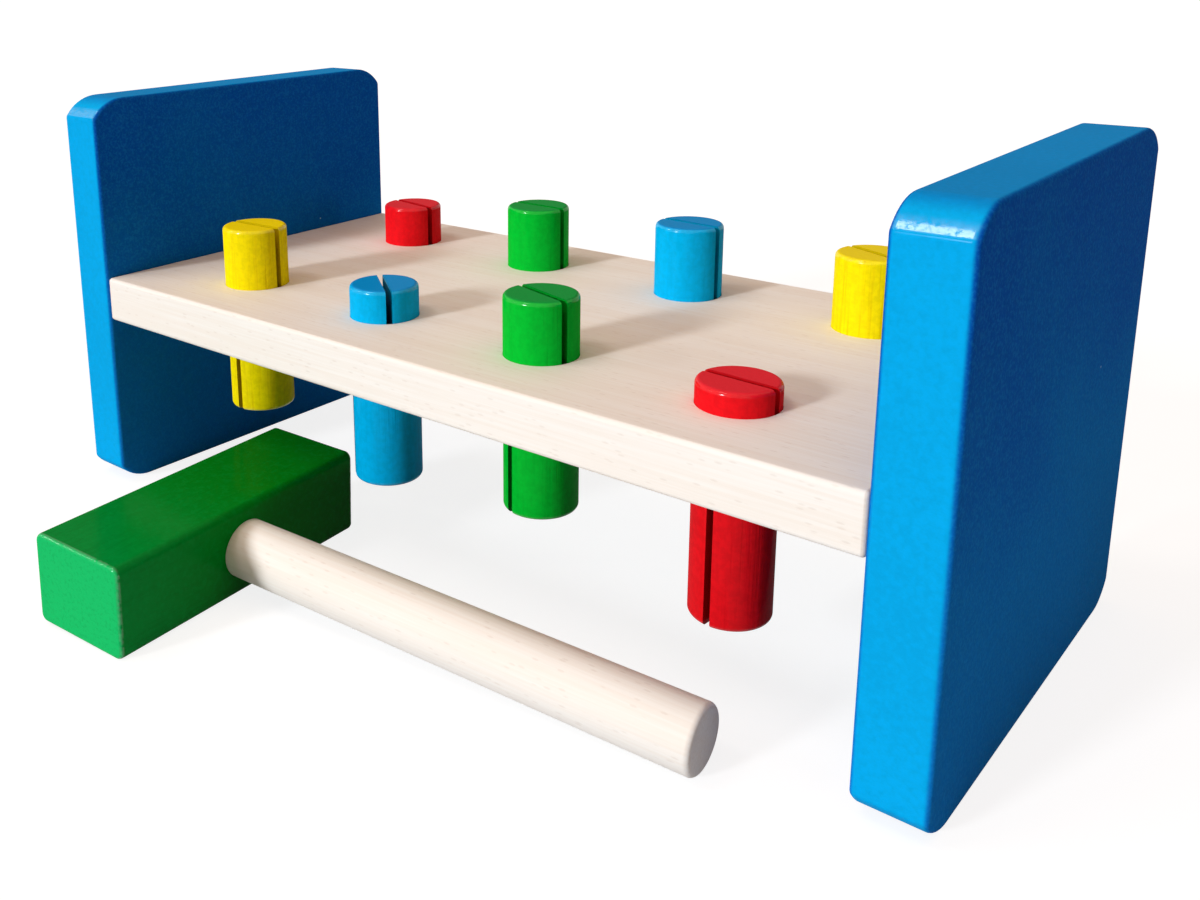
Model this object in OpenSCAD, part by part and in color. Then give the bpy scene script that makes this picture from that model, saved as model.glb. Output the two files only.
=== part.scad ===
// Peg pounding bench: a bored plank glued between two upright panels on hidden dowels.
// Split pegs grip the holes and are driven flush with a mallet, then the bench is turned over.
// Millimetres, +Z up, +X along the plank, origin on the floor midway between the panels.

/* [Panels] */
// Height of each upright panel
panel_h = 110; // [96:1:140]
// Width of each panel, front to back
panel_w = 109; // [90:1:140]
// Thickness of each panel
panel_t = 14; // [10:0.5:20]
// Radius of the wide curve at a panel's corners
panel_corner_r = 11.6; // [6:0.1:16]
// Radius of the soft crease where a corner's curve meets the front or back edge
panel_crease_r = 1.6; // [1.5:0.1:4]
// Radius of the eased edges round both faces of a panel
panel_edge_r = 1.2; // [0.4:0.1:1.4]

/* [Plank] */
// Length of the plank between the panels
plank_l = 216; // [180:1:270]
// Thickness of the plank
plank_t = 12; // [9:0.5:16]
// How far the plank's long faces stand back from the panels' edges
plank_setback = 0.4; // [0.2:0.1:2]
// Radius of the plank's eased long edges
plank_long_edge_r = 1; // [1:0.1:2]
// Radius of the eased edges at the plank's ends, which leave a fine groove at each panel
plank_end_edge_r = 0.8; // [0.2:0.1:0.9]

/* [Pegs] */
// Diameter of a peg
peg_d = 17; // [12:0.5:20]
// Length of a peg
peg_l = 50; // [40:1:60]
// Radius of the rounded rim at both ends of a peg
peg_rim_r = 1; // [0.5:0.1:2]
// Radial gap between a peg and its hole
peg_clearance = 0.08; // [0.05:0.01:0.1]
// Spacing of the pegs along the plank
peg_pitch = 48; // [40:1:58]
// Spacing of the front and back rows
peg_row_spacing = 62; // [50:1:76]
// Width of the saw slits in a peg
slit_w = 1.5; // [1:0.1:3]
// Depth of each slit, measured from the end of the peg
slit_depth = 27; // [20:1:36]

/* [Peg heights above the plank] */
// Height of the front yellow peg
front_yellow_rise = 16; // [0:0.5:24]
// Height of the front blue peg
front_blue_rise = 8; // [0:0.5:24]
// Height of the front green peg
front_green_rise = 14; // [0:0.5:24]
// Height of the front red peg
front_red_rise = 5; // [0:0.5:24]
// Height of the back red peg
back_red_rise = 11.5; // [0:0.5:24]
// Height of the back green peg
back_green_rise = 17; // [0:0.5:24]
// Height of the back blue peg
back_blue_rise = 18.5; // [0:0.5:24]
// Height of the back yellow peg
back_yellow_rise = 18; // [0:0.5:24]

/* [Dowels] */
// Diameter of a dowel pin
dowel_d = 6; // [5:0.5:8]
// How far a dowel reaches into the plank
dowel_in_plank = 18; // [12:1:20]
// Wood left between the end of a dowel's bore and the panel's outer face
dowel_skin = 4; // [3:0.5:5]
// Spacing of the two dowels at each end
dowel_spacing = 32; // [26:1:40]
// Radial glue gap round a dowel
dowel_glue_gap = 0.05; // [0.03:0.01:0.1]

/* [Mallet] */
// Length of the mallet's head
head_l = 76; // [60:1:92]
// Width of the head along the handle
head_w = 28; // [22:1:34]
// Height of the head as it lies
head_h = 22; // [19:0.5:30]
// Radius of the head's long edges
head_corner_r = 2; // [2:0.1:4]
// Radius of the edges round the head's end faces
head_edge_r = 0.9; // [0.6:0.1:1.8]
// Diameter of the handle
handle_d = 14; // [11:0.5:17]
// Length of the handle outside the head
handle_reach = 117; // [90:1:150]
// Depth of the handle's socket in the head
socket_depth = 20; // [12:1:20]
// Chamfer at both ends of the handle
handle_chamfer = 1.2; // [0.5:0.1:2]
// Radial glue gap round the handle in its socket
handle_glue_gap = 0.05; // [0.03:0.01:0.1]
// How far the head's centre lies in front of the panels' front edges
mallet_out = 17; // [17:1:60]
// How far the head's centre lies to the right of the middle of the first two pegs
mallet_shift = 1; // [0:0.5:2]
// How far the handle is turned from the bench's length, in degrees
mallet_turn = 5; // [0:1:6]

/* [Hidden] */
$fn = 96;

// Overrun of every cut past the face that it starts from
cut_over = 1;

// Slope of the seam between a panel corner's wide curve and its crease: four across and three down
crease_seam = [4 / 5, 3 / 5];

// Plank between the panels, with its middle at half the panels' height so that the bench turns over
plank_w = panel_w - 2 * plank_setback;
plank_mid_z = panel_h / 2;
plank_top_z = plank_mid_z + plank_t / 2;

// Each peg's name, column from the left, row (-1 front, 1 back), height, turn of its top slit, colour
PEG_COLUMNS = 4;
PEGS = [
    ["front_yellow_peg", 0, -1, front_yellow_rise, 3, "gold"],
    ["front_blue_peg", 1, -1, front_blue_rise, -38, "deepskyblue"],
    ["front_green_peg", 2, -1, front_green_rise, -17, "forestgreen"],
    ["front_red_peg", 3, -1, front_red_rise, -4, "crimson"],
    ["back_red_peg", 0, 1, back_red_rise, -10, "crimson"],
    ["back_green_peg", 1, 1, back_green_rise, -2, "forestgreen"],
    ["back_blue_peg", 2, 1, back_blue_rise, -5, "deepskyblue"],
    ["back_yellow_peg", 3, 1, back_yellow_rise, -25, "gold"],
];
function peg_x(column) = (column - (PEG_COLUMNS - 1) / 2) * peg_pitch;
function peg_y(row) = row * peg_row_spacing / 2;

// Dowels and their blind bores, equal at both ends of the plank
DOWELS = [
    ["front_left_dowel", -1, -1],
    ["back_left_dowel", -1, 1],
    ["front_right_dowel", 1, -1],
    ["back_right_dowel", 1, 1],
];
dowel_end_gap = 0.5;
dowel_chamfer = 0.8;
dowel_flutes = 12;
dowel_flute_r = 0.4;
dowel_in_panel = panel_t - dowel_skin - dowel_end_gap;
dowel_l = dowel_in_plank + dowel_in_panel;
dowel_bore_l = dowel_l + 2 * dowel_end_gap;
dowel_bore_r = dowel_d / 2 + dowel_glue_gap;

// Handle in its socket
handle_end_gap = 0.5;
handle_l = handle_reach + socket_depth - handle_end_gap;
socket_r = handle_d / 2 + handle_glue_gap;

// The mallet lies on one long edge of its head and on the rim at the end of its handle
lean_drop = handle_d / 2 + head_corner_r - head_h / 2;
lean_span = handle_reach - handle_chamfer + head_corner_r;
mallet_lean = asin(head_corner_r / norm([lean_drop, lean_span])) - atan(lean_drop / lean_span);
mallet_x = mallet_shift - peg_pitch;
mallet_y = -panel_w / 2 - mallet_out;
mallet_z = head_corner_r + (head_w / 2 - head_corner_r) * sin(mallet_lean)
    + (head_h / 2 - head_corner_r) * cos(mallet_lean);

// Half section of a plate's rim: reach outward from the axis, thickness up, both outer corners rounded
module rim_section(reach, thickness, round_r) {
    translate([0, -thickness / 2])
        square([reach - round_r, thickness]);
    translate([reach - round_r, round_r - thickness / 2])
        square([round_r, thickness - 2 * round_r]);
    for (side = [0, 1])
        mirror([0, side])
            translate([reach - round_r, thickness / 2 - round_r])
                intersection() {
                    circle(round_r);
                    square(round_r);
                }
}

// Straight run of a plate's rim across the X axis, reaching outward from the given distance
module rim_run(distance, length, reach, thickness, round_r) {
    translate([distance, 0, 0])
        rotate([90, 0, 0])
            linear_extrude(height = length, center = true)
                rim_section(reach, thickness, round_r);
}

// Quarter turn of a plate's rim about a point, from +X to +Y
module rim_turn(centre, reach, thickness, round_r) {
    translate([centre[0], centre[1], 0])
        rotate_extrude(angle = 90)
            rim_section(reach, thickness, round_r);
}

// Copies a corner made in the +X and +Y quadrant to all four corners of a plate
module at_each_corner() {
    for (flip_x = [0, 1])
        for (flip_y = [0, 1])
            mirror([flip_x, 0, 0])
                mirror([0, flip_y, 0])
                    children();
}

// Plate in the XY plane with rounded corners and eased edges round both faces
module eased_plate(length_x, length_y, thickness, corner_r, edge_r) {
    inner = [length_x / 2 - corner_r, length_y / 2 - corner_r];
    cube([2 * inner[0], 2 * inner[1], thickness], center = true);
    for (side = [0, 180]) {
        rotate([0, 0, side])
            rim_run(inner[0], 2 * inner[1], corner_r, thickness, edge_r);
        rotate([0, 0, side + 90])
            rim_run(inner[1], 2 * inner[0], corner_r, thickness, edge_r);
    }
    at_each_corner()
        rim_turn(inner, corner_r, thickness, edge_r);
}

// Eased plate whose corners have a wide curve that runs smoothly into the edges along X and meets
// the edges along Y in a soft crease
module creased_plate(length_x, length_y, thickness, corner_r, crease_r, edge_r) {
    crease_x = length_x / 2 - crease_r;
    curve_y = length_y / 2 - corner_r;
    curve = [crease_x - (corner_r - crease_r) * crease_seam[0], curve_y];
    crease = [crease_x, curve_y + (corner_r - crease_r) * crease_seam[1]];
    linear_extrude(height = thickness, center = true)
        polygon([
            crease, curve, [-curve[0], curve[1]], [-crease[0], crease[1]],
            -crease, -curve, [curve[0], -curve[1]], [crease[0], -crease[1]],
        ]);
    for (side = [0, 180]) {
        rotate([0, 0, side])
            rim_run(crease_x, 2 * crease[1], crease_r, thickness, edge_r);
        rotate([0, 0, side + 90])
            rim_run(curve_y, 2 * curve[0], corner_r, thickness, edge_r);
    }
    at_each_corner() {
        difference() {
            rim_turn(curve, corner_r, thickness, edge_r);
            seam_waste(curve, corner_r, thickness, -1);
        }
        difference() {
            rim_turn(crease, crease_r, thickness, edge_r);
            seam_waste(crease, crease_r, thickness, 1);
        }
    }
}

// Waste of a turn on one side of the seam through its centre: 1 is towards +Y, -1 towards +X
module seam_waste(centre, reach, thickness, side) {
    width = reach + cut_over;
    translate([centre[0], centre[1], 0])
        rotate([0, 0, atan2(crease_seam[1], crease_seam[0])])
            translate([0, side * width / 2, 0])
                cube([2 * width, width, thickness + 2 * cut_over], center = true);
}

// Stands a plate's thickness along +X, its first length along +Y and its second along +Z
module thickness_along_x() {
    rotate([90, 0, 90])
        children();
}

// Blind bores for the dowels at one end of the plank, running through the joint
module dowel_bores(end) {
    for (dowel = DOWELS)
        if (dowel[1] == end)
            at_dowel(dowel)
                translate([0, 0, -dowel_in_plank - dowel_end_gap])
                    cylinder(r = dowel_bore_r, h = dowel_bore_l);
}

// Puts +Z along a dowel, from the plank's end into the panel
module at_dowel(dowel) {
    translate([dowel[1] * plank_l / 2, dowel[2] * dowel_spacing / 2, plank_mid_z])
        rotate([0, dowel[1] * 90, 0])
            children();
}

module upright_panel(end) {
    color("royalblue")
        difference() {
            translate([end * (plank_l + panel_t) / 2, 0, panel_h / 2])
                thickness_along_x()
                    creased_plate(panel_w, panel_h, panel_t,
                                  panel_corner_r, panel_crease_r, panel_edge_r);
            dowel_bores(end);
        }
}

module left_panel() {
    upright_panel(-1);
}

module right_panel() {
    upright_panel(1);
}

module plank() {
    color("bisque")
        difference() {
            translate([0, 0, plank_mid_z])
                thickness_along_x()
                    eased_plate(plank_w, plank_t, plank_l, plank_long_edge_r, plank_end_edge_r);
            for (peg = PEGS)
                translate([peg_x(peg[1]), peg_y(peg[2]), plank_mid_z - plank_t / 2 - cut_over])
                    cylinder(d = peg_d + 2 * peg_clearance, h = plank_t + 2 * cut_over);
            for (end = [-1, 1])
                dowel_bores(end);
        }
}

// Fluted pin with chamfered ends
module dowel_pin(dowel) {
    color("burlywood")
        at_dowel(dowel)
            translate([0, 0, -dowel_in_plank])
                difference() {
                    chamfered_rod(dowel_d / 2, dowel_l, dowel_chamfer);
                    for (flute = [0 : dowel_flutes - 1])
                        rotate([0, 0, 360 * flute / dowel_flutes])
                            translate([dowel_d / 2, 0, -cut_over])
                                cylinder(r = dowel_flute_r, h = dowel_l + 2 * cut_over);
                }
}

module chamfered_rod(radius, length, chamfer) {
    rotate_extrude()
        polygon([
            [0, 0],
            [radius - chamfer, 0],
            [radius, chamfer],
            [radius, length - chamfer],
            [radius - chamfer, length],
            [0, length],
        ]);
}

// Peg sawn from both ends at right angles: the slits pass each other, so the four quarters spring
module split_peg(peg) {
    color(peg[5])
        translate([peg_x(peg[1]), peg_y(peg[2]), plank_top_z + peg[3] - peg_l / 2])
            rotate([0, 0, peg[4]])
                difference() {
                    rotate_extrude()
                        rim_section(peg_d / 2, peg_l, peg_rim_r);
                    saw_slit();
                    rotate([180, 0, 90])
                        saw_slit();
                }
}

// Slit from the peg's top end
module saw_slit() {
    translate([-peg_d / 2 - cut_over, -slit_w / 2, peg_l / 2 - slit_depth])
        cube([peg_d + 2 * cut_over, slit_w, slit_depth + cut_over]);
}

// Puts the mallet where it lies: head along +Y and handle along +X in its own frame
module where_mallet_lies() {
    translate([mallet_x, mallet_y, mallet_z])
        rotate([0, 0, mallet_turn])
            rotate([0, mallet_lean, 0])
                children();
}

module mallet_head() {
    color("green")
        where_mallet_lies()
            difference() {
                rotate([90, 0, 0])
                    eased_plate(head_w, head_h, head_l, head_corner_r, head_edge_r);
                translate([head_w / 2 - socket_depth, 0, 0])
                    rotate([0, 90, 0])
                        cylinder(r = socket_r, h = socket_depth + cut_over);
            }
}

module mallet_handle() {
    color("wheat")
        where_mallet_lies()
            translate([head_w / 2 + handle_reach - handle_l, 0, 0])
                rotate([0, 90, 0])
                    chamfered_rod(handle_d / 2, handle_l, handle_chamfer);
}

left_panel();
right_panel();
plank();
for (dowel = DOWELS)
    dowel_pin(dowel);
for (peg = PEGS)
    split_peg(peg);
mallet_head();
mallet_handle();
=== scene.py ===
import math

import bmesh
import bpy
from mathutils import Euler, Matrix, Quaternion, Vector


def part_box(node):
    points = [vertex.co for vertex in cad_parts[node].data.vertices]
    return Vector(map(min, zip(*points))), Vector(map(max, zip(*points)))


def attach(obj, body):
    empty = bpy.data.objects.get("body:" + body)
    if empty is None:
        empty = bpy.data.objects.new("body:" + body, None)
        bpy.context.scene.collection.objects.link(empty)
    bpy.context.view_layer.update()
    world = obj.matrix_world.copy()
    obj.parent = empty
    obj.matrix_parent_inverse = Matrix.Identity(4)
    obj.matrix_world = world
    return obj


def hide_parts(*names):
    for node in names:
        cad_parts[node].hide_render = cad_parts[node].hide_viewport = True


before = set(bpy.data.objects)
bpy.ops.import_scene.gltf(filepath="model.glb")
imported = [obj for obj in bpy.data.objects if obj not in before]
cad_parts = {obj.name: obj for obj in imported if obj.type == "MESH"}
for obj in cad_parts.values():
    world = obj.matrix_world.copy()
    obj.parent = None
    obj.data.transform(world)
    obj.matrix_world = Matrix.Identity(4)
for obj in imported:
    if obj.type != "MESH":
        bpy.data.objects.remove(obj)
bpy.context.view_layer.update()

# Upright panels: two close-grained boards with rounded corners and eased edges, sprayed with
# satin blue paint that leaves a fine orange peel and a few dust nibs. Each is glued to one end
# of the plank on hidden dowels, and the bench stands on their lower edges.


class Finish:
    """A value of a finish as it changes over the surface. Sums on it add Math nodes."""

    def __init__(self, tree, socket=None):
        self.tree = tree
        self.socket = socket

    def feed(self, node, sockets):
        """Links a node's sockets to finishes, or sets them to plain values."""
        for name, value in sockets.items():
            if isinstance(value, Finish):
                self.tree.links.new(value.socket, node.inputs[name])
            else:
                node.inputs[name].default_value = value

    def add(self, kind, settings=None, sockets=None, output=0):
        """Adds a node: its settings first, then the values or links of its sockets."""
        node = self.tree.nodes.new(kind)
        for name, setting in (settings or {}).items():
            setattr(node, name, setting)
        self.feed(node, sockets or {})
        return Finish(self.tree, node.outputs[output])

    def sum(self, operation, *values):
        return self.add("ShaderNodeMath", {"operation": operation}, dict(enumerate(values)))

    def __add__(self, other):
        return self.sum("ADD", self, other)

    __radd__ = __add__

    def __sub__(self, other):
        return self.sum("SUBTRACT", self, other)

    def __rsub__(self, other):
        return self.sum("SUBTRACT", other, self)

    def __mul__(self, other):
        return self.sum("MULTIPLY", self, other)

    __rmul__ = __mul__

    def __abs__(self):
        return self.sum("ABSOLUTE", self)


def middle_of(node):
    """The middle of a CAD node's box, in metres."""
    low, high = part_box(node)
    return (low + high) / 2


def half_of(node):
    """Half the size of a CAD node's box, in metres."""
    low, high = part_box(node)
    return (high - low) / 2


def new_finish(name, middle, turn=(0, 0, 0)):
    """A material, its shader, and the place on the piece, from its middle and along its own axes."""
    material = bpy.data.materials.new(name)
    material.use_nodes = True
    surface = Finish(material.node_tree)
    place = surface.add("ShaderNodeTexCoord", output="Object")
    place = place.add("ShaderNodeMapping", {"vector_type": "TEXTURE"},
                      {"Vector": place, "Location": middle, "Rotation": turn})
    return material, material.node_tree.nodes["Principled BSDF"], place


def along(place, axis):
    """How far the place lies along one of the piece's axes."""
    return place.add("ShaderNodeSeparateXYZ", sockets={"Vector": place}, output=axis)


def in_cells(place, sizes):
    """The place counted in cells of the given sizes in metres."""
    return place.add("ShaderNodeVectorMath", {"operation": "DIVIDE"}, {0: place, 1: sizes})


def cloud(place, sizes, detail=2.0, roughness=0.5):
    """Soft noise, with patches of the given sizes in metres."""
    where = in_cells(place, sizes)
    return where.add("ShaderNodeTexNoise", sockets={
        "Vector": where, "Scale": 1.0, "Detail": detail, "Roughness": roughness})


def spots(place, sizes, radius):
    """Scattered specks, one to a cell of the given sizes, with a radius in shares of a cell."""
    where = in_cells(place, sizes)
    distance = where.add("ShaderNodeTexVoronoi", sockets={"Vector": where, "Scale": 1.0},
                         output="Distance")
    return step(distance, radius, 0.4 * radius)


def step(value, low, high):
    """Goes smoothly from 0 at low to 1 at high."""
    return value.add("ShaderNodeMapRange", {"interpolation_type": "SMOOTHSTEP"},
                     {"Value": value, "From Min": low, "From Max": high})


def tint(colour, level=1.0):
    """The colour with its alpha, as a socket takes it, made lighter or darker by the level."""
    return tuple(level * part for part in colour) + (1.0,)


def between(amount, low, high):
    """Colour that goes from low to high with the amount."""
    return amount.add("ShaderNodeMix", {"data_type": "RGBA"}, {0: amount, 6: low, 7: high}, output=2)


def raised(height, depth):
    """Relief whose height of 1 stands out by the depth in metres."""
    return height.add("ShaderNodeBump", sockets={"Strength": 1.0, "Distance": depth, "Height": height})


def dress(node, material):
    """Gives a CAD node the material."""
    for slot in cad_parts[node].material_slots:
        slot.material = material


EDGE_BLUE = (0.001, 0.37, 0.755)
SHADED_END_EDGE_BLUE = (0.001, 0.26, 0.66)
SHADED_FACE_BLUE = (0.001, 0.085, 0.46)
FACE_FOOT_LIGHT_BLUE = (0.003, 0.18, 0.60)
FACE_SPECK_BLUE = (0.03, 0.42, 0.80)
NIB_BLUE = (0.30, 0.62, 0.85)
PAINT_DRIFT = (0.06, 0.05, 0.05)
ORANGE_PEEL = (0.0011, 0.0011, 0.0011)
PAINT_GRIT = (0.0006, 0.0006, 0.0006)
NIB_SPACING = (0.018, 0.018, 0.018)
NIB_RADIUS = 0.018
PEEL_DEPTH = 0.00006
FACE_STARTS = 0.0011
FACE_FULL = 0.0003
END_EDGE_STARTS = 0.0022
FOOT_LIGHT_TOP = 0.11
FOOT_LIGHT_FULL = 0.02
FOOT_LIGHT_DRIFT = 0.10
CREASE_DROP = 0.0047
SHINE_BELOW_CREASE = 0.0002
SHINE_FULL = 0.001
SHINE_GONE = 0.0024

for name in ("left_panel", "right_panel"):
    half = half_of(name)
    material, shader, place = new_finish(f"{name}_paint", middle_of(name))
    across, up = along(place, "X"), along(place, "Z")
    drift = cloud(place, PAINT_DRIFT)
    peel = cloud(place, ORANGE_PEEL, 3.0, 0.6)
    grit = cloud(place, PAINT_GRIT, 2.0, 0.6)
    nibs = spots(place, NIB_SPACING, NIB_RADIUS)
    on_face = step(abs(across), half.x - FACE_STARTS, half.x - FACE_FULL)
    on_end = step(abs(up), half.z - END_EDGE_STARTS, half.z)

    # The top and bottom edges are painted a deeper blue than the front and back edges, as painted shade.
    edges = between(on_end, tint(EDGE_BLUE), tint(SHADED_END_EDGE_BLUE))
    # Lower down, the faces are painted a lighter blue, as painted light.
    painted_foot_light = step(up + FOOT_LIGHT_DRIFT * drift, FOOT_LIGHT_TOP, FOOT_LIGHT_FULL)
    faces = between(painted_foot_light, tint(SHADED_FACE_BLUE), tint(FACE_FOOT_LIGHT_BLUE))
    faces = between(0.16 * step(grit, 0.42, 0.66), faces, tint(FACE_SPECK_BLUE))
    # The broad faces are painted a much deeper blue than the edges, as painted shade.
    colour = between(on_face, edges, faces)
    shade = step(0.45 * drift + 0.55 * peel, 0.36, 0.64)
    colour = colour.add("ShaderNodeVectorMath", {"operation": "SCALE"},
                        {0: colour, "Scale": 0.93 + 0.12 * shade})

    # The paint is glossiest on a narrow strip of each upper corner's curve, just above its crease
    crease = half.z - CREASE_DROP
    on_curve = (step(up, crease - SHINE_BELOW_CREASE, crease)
                * step(up, crease + SHINE_GONE, crease + SHINE_FULL) * (1 - on_face))
    place.feed(shader, {
        "Base Color": between(nibs, colour, tint(NIB_BLUE)),
        "Roughness": 0.42 + 0.16 * peel,
        "Specular IOR Level": 0.0,
        "Coat Weight": 0.03 - 0.02 * on_face + 0.95 * on_curve * step(grit, 0.30, 0.52),
        "Coat Roughness": 0.16,
        "Coat IOR": 1.8,
        "Normal": raised(peel + 0.8 * nibs, PEEL_DEPTH),
    })
    dress(name, material)

# Plank: one planed beech board between the panels, bored for the pegs and left bare and pale.
# Its long edges are eased, and the smaller easing at its ends leaves a fine groove at each panel.

BEECH_PALE = (0.90, 0.86, 0.80)
BEECH_DEEP = (0.865, 0.80, 0.72)
BEECH_FLECK = (0.50, 0.36, 0.26)
BEECH_RINGS = (0.20, 0.008, 0.008)
BEECH_LINES = (0.035, 0.0007, 0.0007)
BEECH_RAYS = (0.0045, 0.0012, 0.0012)
BEECH_RAY_RADIUS = 0.24
BEECH_PORES = (0.004, 0.0005, 0.0005)
BEECH_GRAIN_DEPTH = 0.00003


def beech(shader, place, end_grain=None):
    """Bare beech with its grain along X: soft rings, fine lines and the short dark flecks of its rays."""
    rings = cloud(place, BEECH_RINGS, 3.0)
    lines = cloud(place, BEECH_LINES, 2.0, 0.6)
    flecks = spots(place, BEECH_RAYS, BEECH_RAY_RADIUS)
    wood = between(step(0.5 * rings + 0.5 * lines, 0.36, 0.64), tint(BEECH_PALE), tint(BEECH_DEEP))
    wood = between(0.15 * flecks, wood, tint(BEECH_FLECK))
    if end_grain is not None:
        pores = cloud(place, BEECH_PORES, 3.0, 0.7)
        wood = between(end_grain * (0.10 + 0.35 * pores), wood, tint(BEECH_FLECK))
    place.feed(shader, {
        "Base Color": wood,
        "Roughness": 0.52 + 0.18 * lines,
        "Specular IOR Level": 0.12,
        "Normal": raised(lines - 0.5 * flecks, BEECH_GRAIN_DEPTH),
    })


PLANK_FIGURE_SHIFT = Vector((0.0, 0.012, 0.0))
PLANK_END_STARTS = 0.0009
PLANK_END_FULL = 0.0006

plank_end = half_of("plank").x
material, shader, place = new_finish("plank_beech", middle_of("plank") + PLANK_FIGURE_SHIFT)
beech(shader, place, step(abs(along(place, "X")), plank_end - PLANK_END_STARTS, plank_end - PLANK_END_FULL))
dress("plank", material)

# Dowels: four short fluted beech pins, each glued into a hole in the plank's end and one in a
# panel, so that none of them shows on the finished bench.

for name in ("front_left_dowel", "back_left_dowel", "front_right_dowel", "back_right_dowel"):
    material, shader, place = new_finish(f"{name}_beech", middle_of(name))
    beech(shader, place)
    dress(name, material)

# Pegs: eight turned rods with rounded rims, sawn from both ends at right angles so that their
# quarters spring and grip the hole. Gloss paint lets the upright grain show, most of all in
# the yellow ones, and is duller in the slits. The slits and ends are darkened as painted shade.

PEG_YELLOW = ((0.91, 0.74, 0.002), (0.85, 0.69, 0.004))
PEG_BLUE = ((0.001, 0.42, 0.77), (0.004, 0.27, 0.66))
PEG_GREEN = ((0.001, 0.47, 0.028), (0.004, 0.31, 0.042))
PEG_RED = ((0.76, 0.007, 0.012), (0.74, 0.018, 0.03))
STREAK_SHARES = (0.65, 0.42, 0.5)
SLIT_SHADE_SHARES = (0.45, 0.35, 0.3)
PEG_STREAKS = (0.0008, 0.0008, 0.03)
PEG_MOTTLE = (0.0014, 0.0014, 0.0014)
PEG_PAINT_DEPTH = 0.00005
PEG_RIM = 0.001
SLIT_WIDTH = 0.0015
SLIT_DEPTH = 0.027

# The paints of a peg's side and of its ends, the ends' deeper paint being painted shade, the turn of its
# top slit in degrees, and how far its grain shows
PEGS = {
    "front_yellow_peg": (PEG_YELLOW, 3, 0.25),
    "front_blue_peg": (PEG_BLUE, -38, 0.10),
    "front_green_peg": (PEG_GREEN, -17, 0.12),
    "front_red_peg": (PEG_RED, -4, 0.10),
    "back_red_peg": (PEG_RED, -10, 0.10),
    "back_green_peg": (PEG_GREEN, -2, 0.12),
    "back_blue_peg": (PEG_BLUE, -5, 0.10),
    "back_yellow_peg": (PEG_YELLOW, -25, 0.40),
}


def deepened(colour, shares):
    """The colour with each of its parts cut to a share."""
    return tint([part * share for part, share in zip(colour, shares)])


for name, ((paint, shaded_end_paint), turn, grain_shows) in PEGS.items():
    half_length = half_of(name).z
    material, shader, place = new_finish(f"{name}_paint", middle_of(name), (0, 0, math.radians(turn)))
    across, beside, up = (along(place, axis) for axis in "XYZ")
    streaks = step(cloud(place, PEG_STREAKS, 3.0, 0.65), 0.46, 0.70)
    mottle = cloud(place, PEG_MOTTLE, 3.0, 0.6)

    slit_starts, slit_full = 1.1 * SLIT_WIDTH / 2, 1.03 * SLIT_WIDTH / 2
    past_middle = SLIT_DEPTH - half_length
    in_top_slit = step(abs(beside), slit_starts, slit_full) * step(up, -1.02 * past_middle, -past_middle)
    in_foot_slit = step(abs(across), slit_starts, slit_full) * step(up, 1.02 * past_middle, past_middle)
    in_slit = in_top_slit + in_foot_slit
    on_end = step(abs(up), half_length - 0.3 * PEG_RIM, half_length - 0.05 * PEG_RIM)
    on_rim = step(abs(up), half_length - PEG_RIM, half_length - 0.8 * PEG_RIM) * (1 - on_end)

    colour = between(step(mottle, 0.34, 0.66), tint(paint, 0.94), tint(paint, 1.06))
    colour = between(grain_shows * streaks, colour, deepened(paint, STREAK_SHARES))
    # The ends are painted a deeper colour than the side, as painted shade.
    colour = between(on_end, colour, tint(shaded_end_paint))
    # Colour in the slits is darkened as painted shade.
    colour = between(0.6 * in_slit, colour, deepened(paint, SLIT_SHADE_SHARES))
    place.feed(shader, {
        "Base Color": colour,
        "Roughness": 0.36 + 0.14 * mottle,
        "Specular IOR Level": 0.0,
        "Coat Weight": (0.06 + 0.5 * on_rim) * (1 - 0.8 * in_slit),
        "Coat Roughness": 0.14,
        "Normal": raised(mottle - 0.6 * streaks, PEG_PAINT_DEPTH),
    })
    dress(name, material)

# Mallet head: a squared block with softened edges, painted gloss green over open grain, with a
# blind socket for the handle in the middle of one side. It lies on the lower long edge of that side.

HEAD_GREEN = (0.001, 0.19, 0.007)
HEAD_SHEEN_GREEN = (0.001, 0.25, 0.035)
HEAD_LIT_END_GREEN = (0.008, 0.50, 0.13)
HEAD_PALE_GREEN = (0.004, 0.36, 0.06)
HEAD_DRIFT = (0.03, 0.045, 0.03)
HEAD_GRAIN = (0.0009, 0.018, 0.0009)
HEAD_MOTTLE = (0.0013, 0.0013, 0.0013)
HEAD_PAINT_DEPTH = 0.00005
HEAD_LENGTH = 0.076
HEAD_RIM = 0.001
HEAD_RIM_FADE = 0.0002
SHEEN_FADE = 0.025
SHEEN_DRIFT = 0.03
MALLET_LEAN = math.radians(1.9453)
MALLET_TURN = math.radians(5)

mallet_lies = (0, MALLET_LEAN, MALLET_TURN)
head_middle = middle_of("mallet_head")
head_end = HEAD_LENGTH / 2
rim_starts = head_end - HEAD_RIM

material, shader, place = new_finish("head_paint", head_middle, mallet_lies)
lengthwise = along(place, "Y")
drift = cloud(place, HEAD_DRIFT)
grain = step(cloud(place, HEAD_GRAIN, 3.0, 0.65), 0.42, 0.70)
mottle = cloud(place, HEAD_MOTTLE, 3.0, 0.65)
on_end = step(abs(lengthwise), rim_starts + HEAD_RIM_FADE, head_end - HEAD_RIM_FADE)
on_rim = (step(abs(lengthwise), rim_starts, rim_starts + HEAD_RIM_FADE)
          * step(abs(lengthwise), head_end, head_end - HEAD_RIM_FADE))
# Towards one end the head is painted a lighter bluish green, as painted sheen.
painted_sheen = step(lengthwise + SHEEN_DRIFT * drift, SHEEN_FADE, -SHEEN_FADE)
colour = between(painted_sheen, tint(HEAD_GREEN), tint(HEAD_SHEEN_GREEN))
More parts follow.
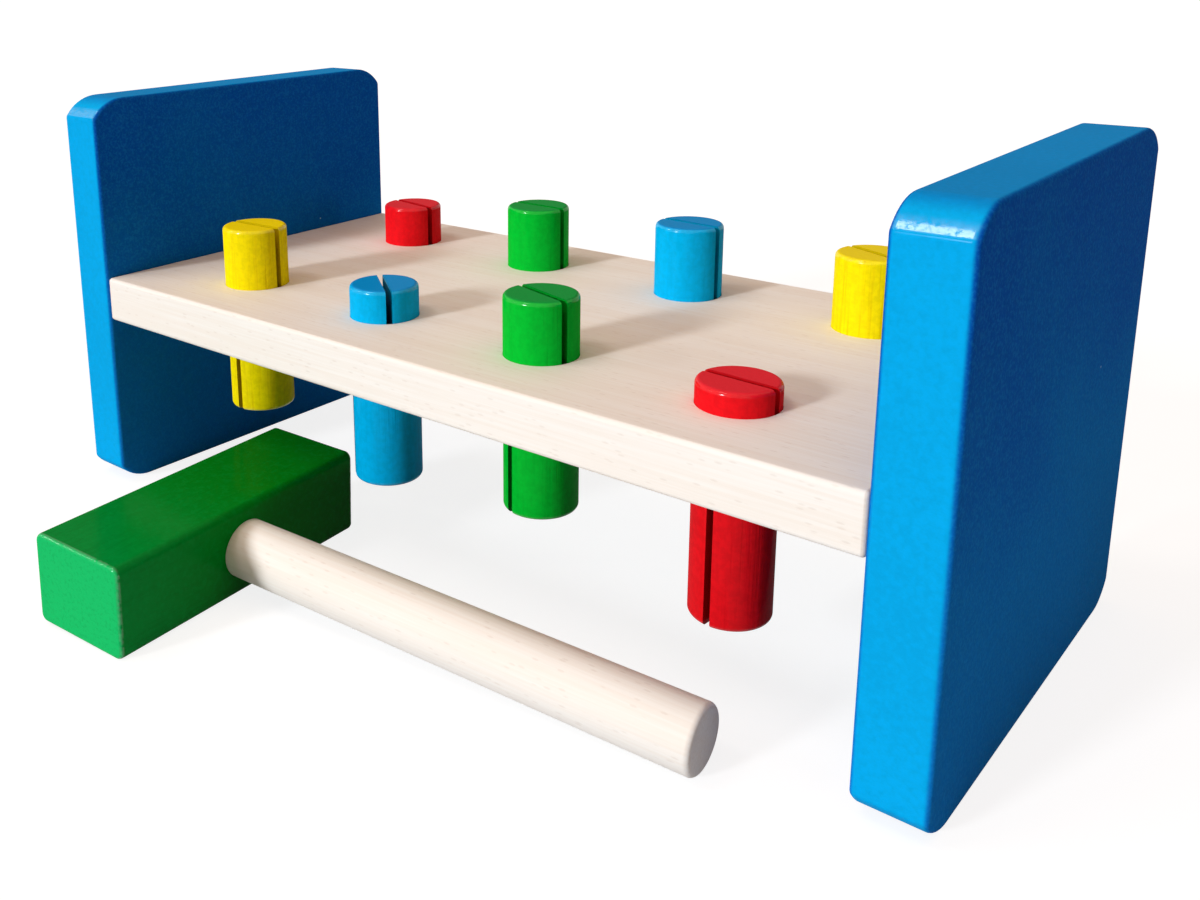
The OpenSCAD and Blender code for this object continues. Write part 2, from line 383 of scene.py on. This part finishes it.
# The ends are painted a much lighter green than the rest, as painted light and sheen.
colour = between(on_end, colour, tint(HEAD_LIT_END_GREEN))
colour = between(0.16 * step(0.6 * mottle + 0.4 * grain, 0.35, 0.75), colour, tint(HEAD_GREEN, 0.55))
colour = between(0.14 * step(mottle, 0.52, 0.36) * (1 - on_end), colour, tint(HEAD_PALE_GREEN))
place.feed(shader, {
    "Base Color": colour,
    "Roughness": 0.36 + 0.16 * mottle,
    "Specular IOR Level": 0.0,
    "Coat Weight": 0.06 + 0.94 * on_rim * step(mottle, 0.38, 0.50),
    "Coat Roughness": 0.14,
    "Normal": raised(mottle - 0.3 * grain, HEAD_PAINT_DEPTH),
})
dress("mallet_head", material)

# Mallet handle: a plain beech rod, glued into the head's socket and left bare. Both ends are sawn
# square and have a rounded rim, and the free end shows the darker end grain.

HEAD_WIDTH = 0.028
HANDLE_RADIUS = 0.007
HANDLE_REACH = 0.117
HANDLE_IN_SOCKET = 0.0195
HANDLE_ROUNDING = 0.0012
HANDLE_SIDES = 96
ROUNDING_STEPS = 6
HANDLE_END_STARTS = 0.0003
HANDLE_END_FULL = 0.0001

handle_end = HEAD_WIDTH / 2 + HANDLE_REACH
handle_length = HANDLE_REACH + HANDLE_IN_SOCKET


def end_faces(rod):
    """The rod's two flat ends, its only faces with more than four corners."""
    return [face for face in rod.faces if len(face.verts) > 4]


rod = bmesh.new()
bmesh.ops.create_cone(rod, cap_ends=True, segments=HANDLE_SIDES, radius1=HANDLE_RADIUS,
                      radius2=HANDLE_RADIUS, depth=handle_length)
rims = [edge for face in end_faces(rod) for edge in face.edges]
bmesh.ops.bevel(rod, geom=rims, offset=HANDLE_ROUNDING, affect="EDGES", segments=ROUNDING_STEPS,
                profile=0.5, material=-1)
bmesh.ops.inset_individual(rod, faces=end_faces(rod), thickness=0.2 * HANDLE_ROUNDING)
for face in rod.faces:
    face.smooth = True
onto_side = Matrix.Rotation(math.pi / 2, 4, "Y")
into_socket = Matrix.Translation((handle_end - handle_length / 2, 0, 0))
onto_floor = Matrix.LocRotScale(head_middle, Euler(mallet_lies), None)
bmesh.ops.transform(rod, matrix=onto_floor @ into_socket @ onto_side, verts=rod.verts)
rod_data = bpy.data.meshes.new("handle_rod")
rod.to_mesh(rod_data)
rod.free()
handle = bpy.data.objects.new("handle_rod", rod_data)
bpy.context.scene.collection.objects.link(handle)
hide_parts("mallet_handle")
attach(handle, "mallet")

material, shader, place = new_finish("handle_beech", head_middle, mallet_lies)
beech(shader, place, step(along(place, "X"), handle_end - HANDLE_END_STARTS, handle_end - HANDLE_END_FULL))
rod_data.materials.append(material)

# Floor: a plain white sheet under and behind the bench, which keeps its soft shadow. What the
# camera and reflections see of it is lifted to white, and it throws back about half of the light.

FLOOR_HALF = 20.0
WHITE = (1.0, 1.0, 1.0, 1.0)
FLOOR_BOUNCE = (0.53, 0.55, 0.58, 1.0)
FLOOR_GLOW = 1.16
SHADOW_SHARE = 0.28

floor_mesh = bmesh.new()
bmesh.ops.create_grid(floor_mesh, x_segments=1, y_segments=1, size=FLOOR_HALF)
floor_data = bpy.data.meshes.new("floor")
floor_mesh.to_mesh(floor_data)
floor_mesh.free()
floor = bpy.data.objects.new("floor", floor_data)
bpy.context.scene.collection.objects.link(floor)


def seen_directly(finish):
    """1 for rays that show the backdrop itself, and 0 for rays that light the bench."""
    rays = finish.add("ShaderNodeLightPath", output="Is Camera Ray")
    for kind in ("Is Glossy Ray", "Is Transmission Ray"):
        rays = rays + finish.add("ShaderNodeLightPath", output=kind)
    return rays


floor_white = bpy.data.materials.new("floor_white")
floor_white.use_nodes = True
floor_white.node_tree.nodes.clear()
sheet = Finish(floor_white.node_tree)
glow = sheet.add("ShaderNodeEmission", sockets={"Color": WHITE, "Strength": FLOOR_GLOW})
white = sheet.add("ShaderNodeBsdfDiffuse", sockets={"Color": WHITE})
dull = sheet.add("ShaderNodeBsdfDiffuse", sockets={"Color": FLOOR_BOUNCE})
shown = sheet.add("ShaderNodeMixShader", sockets={0: SHADOW_SHARE, 1: glow, 2: white})
mixed = sheet.add("ShaderNodeMixShader", sockets={0: seen_directly(sheet), 1: dull, 2: shown})
sheet.feed(floor_white.node_tree.nodes.new("ShaderNodeOutputMaterial"), {"Surface": mixed})
floor_data.materials.append(floor_white)

# Light: a soft lamp low in front of the bench and a little to its left, three weak ones from above,
# the left and the right, and a warm sky that is brightest overhead. The camera and reflections see
# the sky as white.

FRONT_WHITE = (0.955, 1.0, 1.05)
PLAIN_WHITE = (1.0, 1.0, 1.0)
SKY_WARM = (1.0, 0.72, 0.55, 1.0)
SKY_LOW = 0.03
SKY_OVERHEAD = 1.1


def lamp(name, azimuth, height, level, width, colour):
    """Far soft lamp, whose beam runs to the azimuth and falls from the height. Angles are in degrees."""
    heading, slope = math.radians(azimuth), math.radians(height)
    light = bpy.data.lights.new(name, "SUN")
    light.color = colour
    light.energy = level * math.pi
    light.angle = math.radians(width)
    beam = Vector((math.cos(heading), math.sin(heading), -math.tan(slope)))
    holder = bpy.data.objects.new(name, light)
    holder.rotation_euler = beam.to_track_quat("-Z", "Y").to_euler()
    bpy.context.scene.collection.objects.link(holder)


lamp("front_lamp", azimuth=75, height=17, level=0.82, width=9, colour=FRONT_WHITE)
lamp("high_lamp", azimuth=50, height=60, level=0.12, width=15, colour=PLAIN_WHITE)
lamp("left_lamp", azimuth=36, height=30, level=0.06, width=5, colour=PLAIN_WHITE)
lamp("right_lamp", azimuth=185, height=2, level=0.12, width=20, colour=PLAIN_WHITE)

world = bpy.data.worlds.new("sky")
bpy.context.scene.world = world
world.use_nodes = True
world.node_tree.nodes.clear()
sky = Finish(world.node_tree)
overhead = step(along(sky.add("ShaderNodeTexCoord", output="Generated"), "Z"), 0.5, 1.0)
ambient = sky.add("ShaderNodeBackground", sockets={
    "Color": SKY_WARM, "Strength": SKY_LOW + SKY_OVERHEAD * overhead})
backdrop = sky.add("ShaderNodeBackground", sockets={"Color": WHITE, "Strength": 1.0})
mixed = sky.add("ShaderNodeMixShader", sockets={0: seen_directly(sky), 1: ambient, 2: backdrop})
sky.feed(world.node_tree.nodes.new("ShaderNodeOutputWorld"), {"Surface": mixed})

# Camera: close in front of the bench's right end and above it, as in the photograph. Its focal
# length is given in pixels of a picture 1200 wide, and its roll in radians.

CAMERA_PLACE = Vector((0.17965, -0.23691, 0.14833))
CAMERA_AIM = Vector((-0.03182, 0.0, 0.07105))
CAMERA_ROLL = 0.017
CAMERA_SHIFT = (0.13, -0.17)
PICTURE_WIDTH = 1200
FOCAL_LENGTH = 1229.3
SENSOR_WIDTH = 36.0
NEAREST, FARTHEST = 0.01, 100

camera_data = bpy.data.cameras.new("camera")
camera_data.sensor_width = SENSOR_WIDTH
camera_data.lens = FOCAL_LENGTH / PICTURE_WIDTH * SENSOR_WIDTH
camera_data.shift_x, camera_data.shift_y = CAMERA_SHIFT
camera_data.clip_start = NEAREST
camera_data.clip_end = FARTHEST
camera = bpy.data.objects.new("camera", camera_data)
camera.location = CAMERA_PLACE
camera.rotation_mode = "QUATERNION"
facing = (CAMERA_AIM - CAMERA_PLACE).to_track_quat("-Z", "Y")
camera.rotation_quaternion = facing @ Quaternion((0, 0, 1), -CAMERA_ROLL)
bpy.context.scene.collection.objects.link(camera)
bpy.context.scene.camera = camera
bpy.context.scene.view_settings.view_transform = "Standard"
